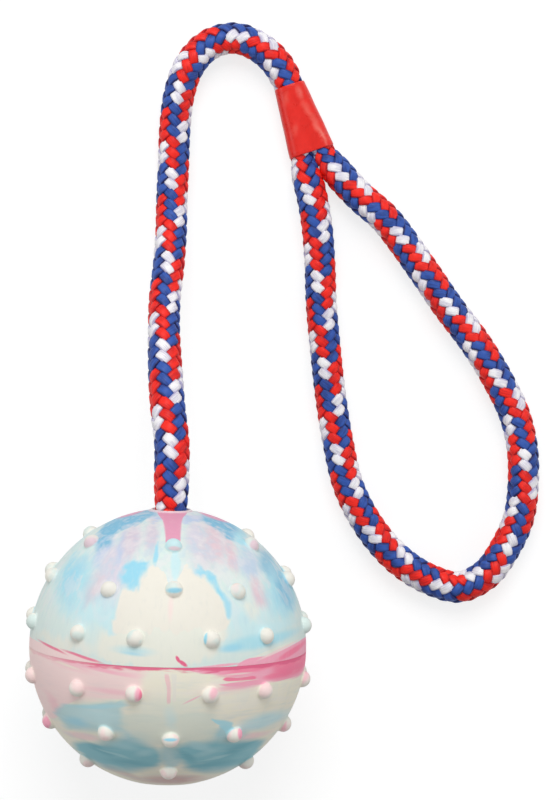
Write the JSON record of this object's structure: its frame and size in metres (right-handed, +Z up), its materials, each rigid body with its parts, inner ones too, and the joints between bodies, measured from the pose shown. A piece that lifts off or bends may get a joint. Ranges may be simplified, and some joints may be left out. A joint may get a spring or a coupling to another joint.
{
  "type": "ball on rope dog toy",
  "caption": "Nubbed rubber ball on a braided rope that ends in a hand loop held by a shrunk sleeve, for throwing and tugging.",
  "frame": {"origin": "on the ground under the centre of the ball", "axes": "+Z up from the ground, +Y along the rope's bore as it leaves the ball (level with the ground, turned 1.4 degrees aside), +X to the side on which the hand loop lies"},
  "size_m": [0.108, 0.1583, 0.0588],
  "materials": {
    "marbled_rubber": "matte natural rubber, cream marbled with light blue and pink",
    "braided_rope": "braided red, blue and white filament yarn",
    "red_sleeve": "glossy heat-shrunk plastic"
  },
  "bodies": {
    "handle_rope": {"rope_neck": "braided_rope", "rope_stem": "braided_rope", "rope_in_sleeve": "braided_rope", "rope_tail_end": "braided_rope", "shrink_sleeve": "red_sleeve"},
    "hand_loop": {"rope_loop": "braided_rope"},
    "rope_core": {"rope_in_ball": "braided_rope", "stopper_knot": "braided_rope"},
    "ball": {"ball_upper_half": "marbled_rubber", "ball_lower_half": "marbled_rubber"}
  },
  "joints": [
    {"name": "ball_swing", "type": "hinge", "parent": "handle_rope", "child": "rope_core", "pos_m": [0.00069, 0.02841, 0.03161], "axis": [0, 0, 1], "range_deg": [-45, 45], "deforming": ["rope_neck"]},
    {"name": "ball_spin", "type": "hinge", "parent": "rope_core", "child": "ball", "pos_m": [0, 0, 0.02942], "axis": [0.0244, 0.9968, 0.0767], "continuous": true},
    {"name": "loop_lift", "type": "hinge", "parent": "handle_rope", "child": "hand_loop", "pos_m": [0.0299, 0.1037, 0.00295], "axis": [-0.9466, -0.3223, 0], "range_deg": [0, 80], "deforming": ["rope_loop"]}
  ]
}
